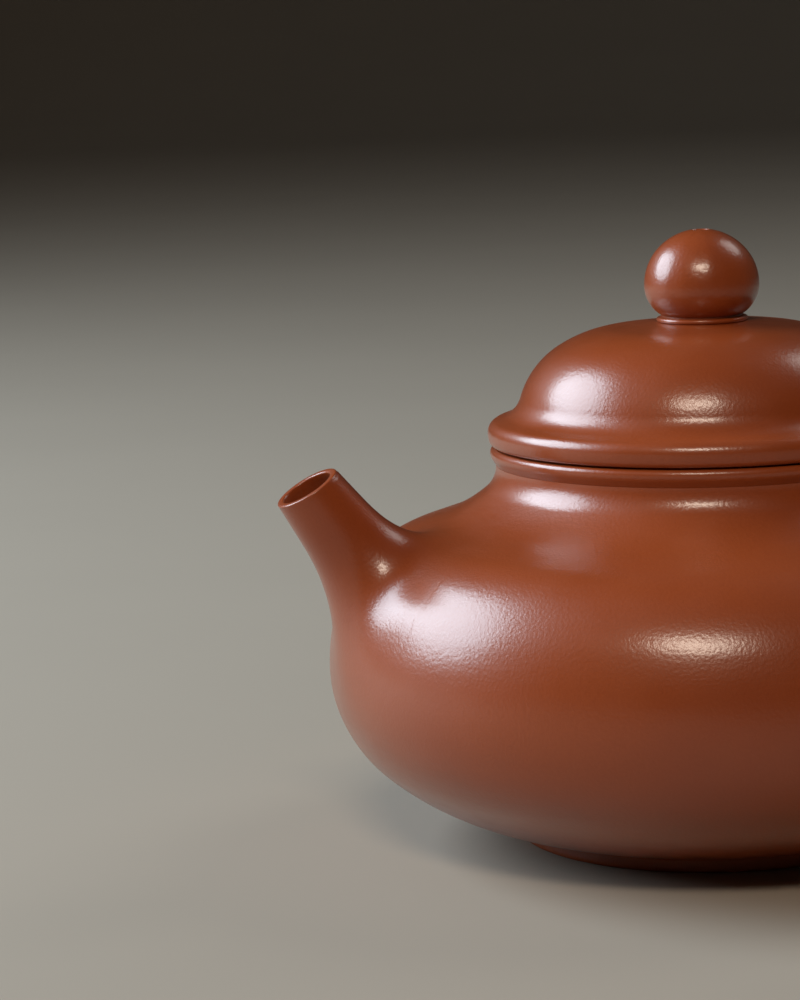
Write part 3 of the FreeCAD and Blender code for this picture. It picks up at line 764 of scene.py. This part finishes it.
def make_belly(hole_from=9.0, hole_to=26.0):
    """The belly's wall, pierced along the spout's line between these depths from its tip."""
    belly = turned("belly_wall_clay", belly_wall_outline(), tuck_outer)
    tool = cone("pouring_hole", SPOUT, hole_from, hole_to,
                lambda depth: BORE_R + depth * BORE_TAPER)
    return pierce(belly, tool)


def tuck_outer(ring):
    """Only rings on the outer skin are lowered under the melted roots."""
    return tuck(ring) if abs(body_distance(ring[:1])[0]) < ON_SKIN else ring


# ---------------------------------------------------------------- materials

class Graph:
    """Short ways to add shader nodes to one material."""

    def __init__(self, name):
        self.material = bpy.data.materials.new(name)
        self.material.use_nodes = True
        self.tree = self.material.node_tree
        self.tree.nodes.clear()

    def add(self, kind, fields=(), **sockets):
        node = self.tree.nodes.new("ShaderNode" + kind)
        for field, value in dict(fields).items():
            setattr(node, field, value)
        for name, value in sockets.items():
            self.set(node.inputs[name.replace("_", " ")], value)
        return node

    def set(self, socket, value):
        if isinstance(value, bpy.types.NodeSocket):
            self.tree.links.new(value, socket)
        else:
            socket.default_value = value

    def math(self, operation, first, second=0.0):
        node = self.tree.nodes.new("ShaderNodeMath")
        node.operation = operation
        self.set(node.inputs[0], first)
        self.set(node.inputs[1], second)
        return node.outputs[0]

    def mix(self, share, first, second):
        node = self.tree.nodes.new("ShaderNodeMix")
        node.data_type = "RGBA"
        for name, value in (("Factor", share), ("A", first), ("B", second)):
            socket = next(s for s in node.inputs if s.name == name and s.enabled)
            self.set(socket, value)
        return next(s for s in node.outputs if s.enabled)

    def span(self, value, low, high, to_low=0.0, to_high=1.0):
        node = self.add("MapRange")
        for name, number in (("From Min", low), ("From Max", high),
                             ("To Min", to_low), ("To Max", to_high)):
            node.inputs[name].default_value = number
        self.set(node.inputs["Value"], value)
        return node.outputs["Result"]

    def noise(self, vector, scale, detail=2.0):
        return self.add("TexNoise", Scale=scale, Detail=detail, Vector=vector).outputs[0]


CLAY = (0.300, 0.0550, 0.0100, 1)
CLAY_DEEP = (0.262, 0.0455, 0.0078, 1)
CLAY_WARM = (0.330, 0.0640, 0.0128, 1)
RAW = (0.260, 0.0640, 0.0230, 1)
GRAIN, CLOUD, PATCH = 2300.0, 38.0, 160.0         # features for each metre
STREAK_FINE, STREAK_BROAD = 1500.0, 330.0
BUMP = 0.00005        # m of height for a full step of the grain
BURNISHED_ROUGH, FIRED_ROUGH, COAT_ROUGH = 0.42, 0.78, 0.24
FLOOR_DEEP, FLOOR_PALE = (0.340, 0.295, 0.240, 1), (0.365, 0.317, 0.258, 1)


def around_axis(graph, place, long, fine):
    """Noise drawn out in rings round the pot's axis: its grain is fine in radius and height."""
    parts = graph.add("SeparateXYZ", Vector=place)
    flat = graph.add("CombineXYZ", X=parts.outputs["X"], Y=parts.outputs["Y"])
    length = graph.add("VectorMath", {"operation": "LENGTH"})
    graph.tree.links.new(flat.outputs[0], length.inputs[0])
    unit = graph.add("VectorMath", {"operation": "NORMALIZE"})
    graph.tree.links.new(flat.outputs[0], unit.inputs[0])
    turn = graph.add("SeparateXYZ", Vector=unit.outputs[0])
    x = graph.math("MULTIPLY", turn.outputs["X"], long)
    y = graph.math("MULTIPLY", turn.outputs["Y"], long)
    r = graph.math("MULTIPLY", length.outputs["Value"], fine)
    z = graph.math("MULTIPLY", parts.outputs["Z"], fine)
    noise = graph.add("TexNoise", {"noise_dimensions": "4D"}, Scale=1.0, Detail=2.0, W=z)
    vector = graph.add("CombineXYZ", X=x, Y=y, Z=r)
    graph.tree.links.new(vector.outputs[0], noise.inputs["Vector"])
    return noise.outputs[0]


def clay(name):
    """Fired clay.  Its polish attribute says where it was burnished and where left as fired,
    and its swept attribute how far it shows streaks from being turned."""
    graph = Graph(name)
    place = graph.add("TexCoord").outputs["Object"]
    polish = graph.add("Attribute", {"attribute_name": "polish"}).outputs["Fac"]
    swept = graph.add("Attribute", {"attribute_name": "swept"}).outputs["Fac"]
    cloud = graph.noise(place, CLOUD, 3.0)
    patch = graph.noise(place, PATCH, 2.0)
    grain = graph.noise(place, GRAIN, 2.0)
    fine = around_axis(graph, place, 5.0, STREAK_FINE)
    broad = around_axis(graph, place, 3.0, STREAK_BROAD)

    colour = graph.mix(graph.span(cloud, 0.35, 0.65), CLAY_DEEP, CLAY_WARM)
    colour = graph.mix(0.5, colour, CLAY)
    colour = graph.mix(graph.span(grain, 0.3, 0.7, 0.0, 0.35), colour, CLAY_DEEP)
    raw = graph.mix(graph.span(grain, 0.3, 0.7), RAW, CLAY_DEEP)
    colour = graph.mix(polish, graph.mix(0.6, colour, raw), colour)

    shine = graph.math("ADD", graph.span(cloud, 0.3, 0.7, -0.03, 0.03),
                       graph.span(patch, 0.3, 0.7, -0.03, 0.03))
    shine = graph.math("ADD", shine, graph.math("MULTIPLY", swept,
                                                graph.span(broad, 0.3, 0.7, -0.04, 0.04)))
    burnished = graph.math("ADD", shine, BURNISHED_ROUGH)
    rough = graph.math("ADD", graph.span(grain, 0.3, 0.7, -0.04, 0.04), FIRED_ROUGH)
    roughness = graph.add("Mix")
    for socket, value in zip((0, 2, 3), (polish, rough, burnished)):
        graph.set(roughness.inputs[socket], value)

    streaks = graph.math("ADD", graph.math("MULTIPLY", fine, 0.12),
                         graph.math("MULTIPLY", broad, 0.8))
    height = graph.math("ADD", graph.math("MULTIPLY", grain, 0.6),
                        graph.math("MULTIPLY", streaks, swept))
    height = graph.math("ADD", height, graph.math("MULTIPLY", patch, 0.5))
    bump = graph.add("Bump", Height=height, Strength=1.0, Distance=BUMP).outputs["Normal"]
    skin = graph.add("BsdfPrincipled", Base_Color=colour, Roughness=roughness.outputs[0],
                     IOR=1.5, Specular_IOR_Level=0.25, Normal=bump, Coat_Weight=polish,
                     Coat_Roughness=COAT_ROUGH, Coat_IOR=1.5, Coat_Normal=bump)
    out = graph.add("OutputMaterial")
    graph.tree.links.new(skin.outputs[0], out.inputs["Surface"])
    return graph.material


def floor_material():
    graph = Graph("pale_floor")
    place = graph.add("TexCoord").outputs["Object"]
    colour = graph.mix(graph.noise(place, 9.0, 4.0), FLOOR_DEEP, FLOOR_PALE)
    skin = graph.add("BsdfPrincipled", Base_Color=colour, Roughness=0.7)
    out = graph.add("OutputMaterial")
    graph.tree.links.new(skin.outputs[0], out.inputs["Surface"])
    return graph.material


# ---------------------------------------------------------------- the pieces

TURNED = {
    "base_disc": base_disc_outline,
    "foot_ring": foot_ring_outline,
    "shoulder_disc": shoulder_disc_outline,
    "neck_ring": neck_ring_outline,
    "mouth_lip": mouth_lip_outline,
    "lid_rim": lid_rim_outline,
    "lid_dome": lid_dome_outline,
    "lid_flange": lid_flange_outline,
    "knob_collar": knob_collar_outline,
    "knob": knob_outline,
}
FINE_STEP = {"mouth_lip": 0.15, "lid_rim": 0.18, "neck_ring": 0.3, "knob": 0.25,
             "knob_collar": 0.08, "foot_ring": 0.2}
TUCKED = ("shoulder_disc", "neck_ring")


def slot_of(node):
    parts = frame["record"]["subparts"]
    return next(part["material_slot"] for part in parts if part["node"] == node)


def body_of(node):
    bodies = frame["record"]["behaviour"]["bodies"]
    return next(body for body, nodes in bodies.items() if node in nodes)


def put_on(piece, node, material):
    piece.data.materials.clear()
    piece.data.materials.append(material)
    shade(piece)
    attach(piece, body_of(node))
    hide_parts(node)


def build_pieces():
    burnished, plain = clay("burnished_clay"), clay("plain_clay")
    for node, outline in TURNED.items():
        move = tuck_outer if node in TUCKED else None
        piece = turned(f"{node}_clay", outline(), move, FINE_STEP.get(node, STEP))
        put_on(piece, node, burnished if slot_of(node) == "burnished_clay" else plain)
    put_on(make_belly(), "belly_wall", burnished)
    put_on(make_spout(), "spout", burnished)
    put_on(make_handle(), "handle", burnished)
    strainer = frame["nodes"]["strainer"]
    strainer.data.materials.clear()
    strainer.data.materials.append(plain)


# ---------------------------------------------------------------- floor, light and camera

# m: how far the floor runs flat, the radius it rises at, and the height of its wall
FLOOR_FLAT, FLOOR_RISE, FLOOR_WALL = 2.2, 1.6, 4.0


def make_floor(around=96, rise_count=25):
    """A level floor that sweeps up all round into a plain wall."""
    angle = turns(around)
    profile = [(FLOOR_FLAT, 0.0)]
    for bend in np.linspace(0, math.pi / 2, rise_count)[1:]:
        across, up = math.sin(bend), 1 - math.cos(bend)
        profile.append((FLOOR_FLAT + FLOOR_RISE * across, FLOOR_RISE * up))
    profile.append((FLOOR_FLAT + FLOOR_RISE, FLOOR_WALL))
    points = [(0.0, 0.0, 0.0)]
    for r, z in profile:
        points += [(r * math.cos(a), r * math.sin(a), z) for a in angle]
    faces = [(0, 1 + n, 1 + (n + 1) % around) for n in range(around)]
    for row in range(len(profile) - 1):
        low, high = 1 + row * around, 1 + (row + 1) * around
        for n in range(around):
            on = (n + 1) % around
            faces.append((low + n, high + n, high + on, low + on))
    mesh = bpy.data.meshes.new("floor")
    mesh.from_pydata(points, [], faces)
    mesh.shade_smooth()
    mesh.materials.append(floor_material())
    floor = bpy.data.objects.new("floor", mesh)
    bpy.context.scene.collection.objects.link(floor)


def round_about(azimuth, elevation, distance, centre=(0.0, 0.0, 0.0)):
    """A place at this bearing from the centre; azimuth 0 is on the -Y side, 90 on the +X side."""
    a, e = math.radians(azimuth), math.radians(elevation)
    away = Vector((math.sin(a) * math.cos(e), -math.cos(a) * math.cos(e), math.sin(e)))
    return Vector(centre) + away * distance


LIT_POINT = (0.0, 0.0, 0.045)
# name, azimuth, elevation, distance in m, size in m, lean in degrees, power in W, colour
LAMPS = (
    ("window", -119, 30, 0.9, (0.80, 0.60), -28, 13.0, (0.74, 0.88, 1.0)),
    ("front_lamp", -26, 42, 1.3, (0.44, 0.24), 0, 6.5, (1.0, 0.84, 0.68)),
    ("side_fill", 108, 45, 1.4, (0.60, 0.60), 0, 2.4, (1.0, 0.95, 0.90)),
)
ROOM_COLOUR, ROOM_LIGHT = (0.50, 0.49, 0.48, 1), 0.09


def soft_light(name, azimuth, elevation, distance, size, lean, power, colour):
    """An oval soft box facing the pot, leant over by this many degrees in its own plane."""
    lamp = bpy.data.lights.new(name, "AREA")
    lamp.shape = "ELLIPSE"
    lamp.size, lamp.size_y = size
    lamp.energy, lamp.color = power, colour
    item = bpy.data.objects.new(name, lamp)
    bpy.context.scene.collection.objects.link(item)
    item.location = round_about(azimuth, elevation, distance, LIT_POINT)
    item.visible_camera = False
    facing = (item.location - Vector(LIT_POINT)).to_track_quat("Z", "Y")
    item.rotation_euler = (facing @ Quaternion((0, 0, 1), math.radians(lean))).to_euler()


def light_scene():
    for lamp in LAMPS:
        soft_light(*lamp)
    world = bpy.data.worlds.new("studio")
    world.use_nodes = True
    room = world.node_tree.nodes["Background"]
    room.inputs["Color"].default_value = ROOM_COLOUR
    room.inputs["Strength"].default_value = ROOM_LIGHT
    bpy.context.scene.world = world
    bpy.context.scene.view_settings.view_transform = "Standard"


# the camera stands round the mouth ring's centre and looks a little to its left
RING_CENTRE = (0.0, 0.0, 0.0552)
CAMERA_AZIMUTH, CAMERA_ELEVATION, CAMERA_DISTANCE = -21.0, 7.56, 0.49
CAMERA_YAW, CAMERA_PITCH, CAMERA_ROLL = -5.05, 8.416, 1.93
LENS, SENSOR = 126.0, 36.0            # mm


def make_camera():
    data = bpy.data.cameras.new("camera")
    data.lens, data.sensor_width = LENS, SENSOR
    data.clip_start, data.clip_end = 0.01, 100.0
    camera = bpy.data.objects.new("camera", data)
    bpy.context.scene.collection.objects.link(camera)
    yaw = math.radians(CAMERA_YAW - CAMERA_AZIMUTH)
    pitch, roll = math.radians(CAMERA_PITCH), math.radians(CAMERA_ROLL)
    level = math.cos(pitch)
    ahead = Vector((math.sin(yaw) * level, math.cos(yaw) * level, -math.sin(pitch)))
    right = Vector((math.cos(yaw), -math.sin(yaw), 0))
    up = right.cross(ahead)
    right, up = (right * math.cos(roll) - up * math.sin(roll),
                 up * math.cos(roll) + right * math.sin(roll))
    turn = Matrix((right, up, -ahead)).transposed().to_4x4()
    place = round_about(CAMERA_AZIMUTH, CAMERA_ELEVATION, CAMERA_DISTANCE, RING_CENTRE)
    camera.matrix_world = Matrix.Translation(place) @ turn
    bpy.context.scene.camera = camera


build_pieces()
make_floor()
light_scene()
make_camera()
